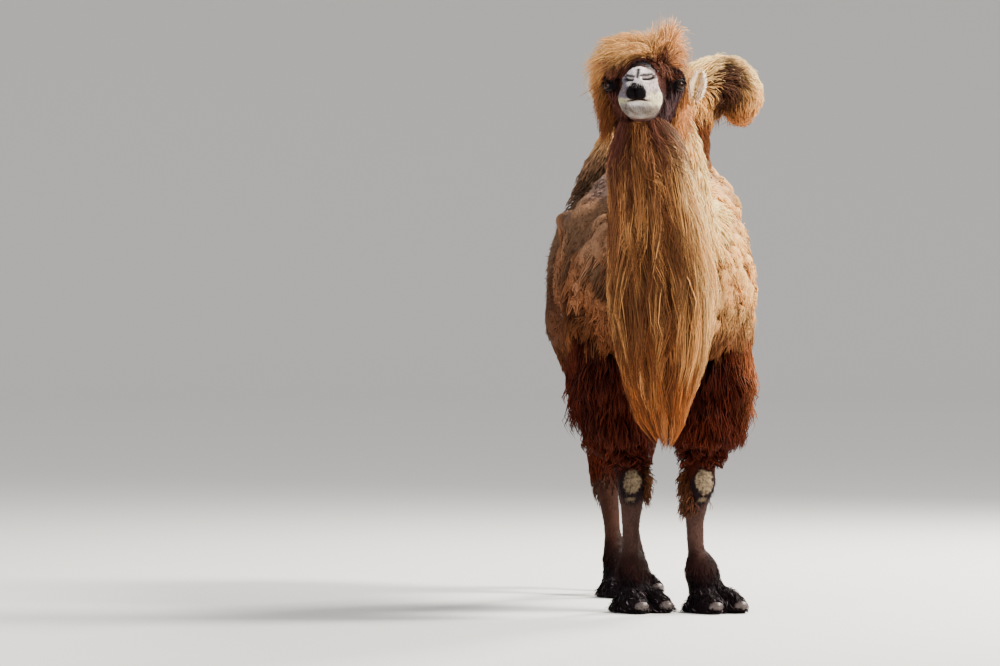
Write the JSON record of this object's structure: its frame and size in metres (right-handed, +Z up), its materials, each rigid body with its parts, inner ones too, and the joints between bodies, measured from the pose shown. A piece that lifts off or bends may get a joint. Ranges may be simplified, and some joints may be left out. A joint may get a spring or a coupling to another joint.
{
  "type": "bactrian camel",
  "caption": "Standing bactrian camel, life size, head raised and turned, with a long throat beard, two humps, shaggy upper forelegs and broad padded feet.",
  "frame": {"origin": "middle of the underside of the whole model's box, on the floor that the four soles stand on", "axes": "+Z up; the camel faces -Y with its body lengthways along Y; +X is to its left"},
  "size_m": [0.8094, 2.4376, 2.0758],
  "materials": {
    "face_hide": "short dark brown fur with a pale grey muzzle",
    "coat_gold": "long golden hair, silky",
    "coat_tan": "woolly tan coat, shedding in clumps",
    "coat_dark": "dark red-brown hair, short on the lower legs",
    "eye": "wet, glossy dark brown",
    "nail": "dull horn"
  },
  "bodies": {
    "root": {"head": "face_hide", "ear_left": "face_hide", "ear_right": "face_hide", "eye_left": "eye", "eye_right": "eye", "neck": "coat_gold", "beard": "coat_gold", "trunk": "coat_tan", "hump_front": "coat_tan", "hump_rear": "coat_tan", "tail": "coat_dark", "foreleg_right": "coat_dark", "nail_foreleg_right_inner": "nail", "nail_foreleg_right_outer": "nail", "foreleg_left": "coat_dark", "nail_foreleg_left_inner": "nail", "nail_foreleg_left_outer": "nail", "hindleg_right": "coat_dark", "nail_hindleg_right_inner": "nail", "nail_hindleg_right_outer": "nail", "hindleg_left": "coat_dark", "nail_hindleg_left_inner": "nail", "nail_hindleg_left_outer": "nail"}
  },
  "joints": []
}
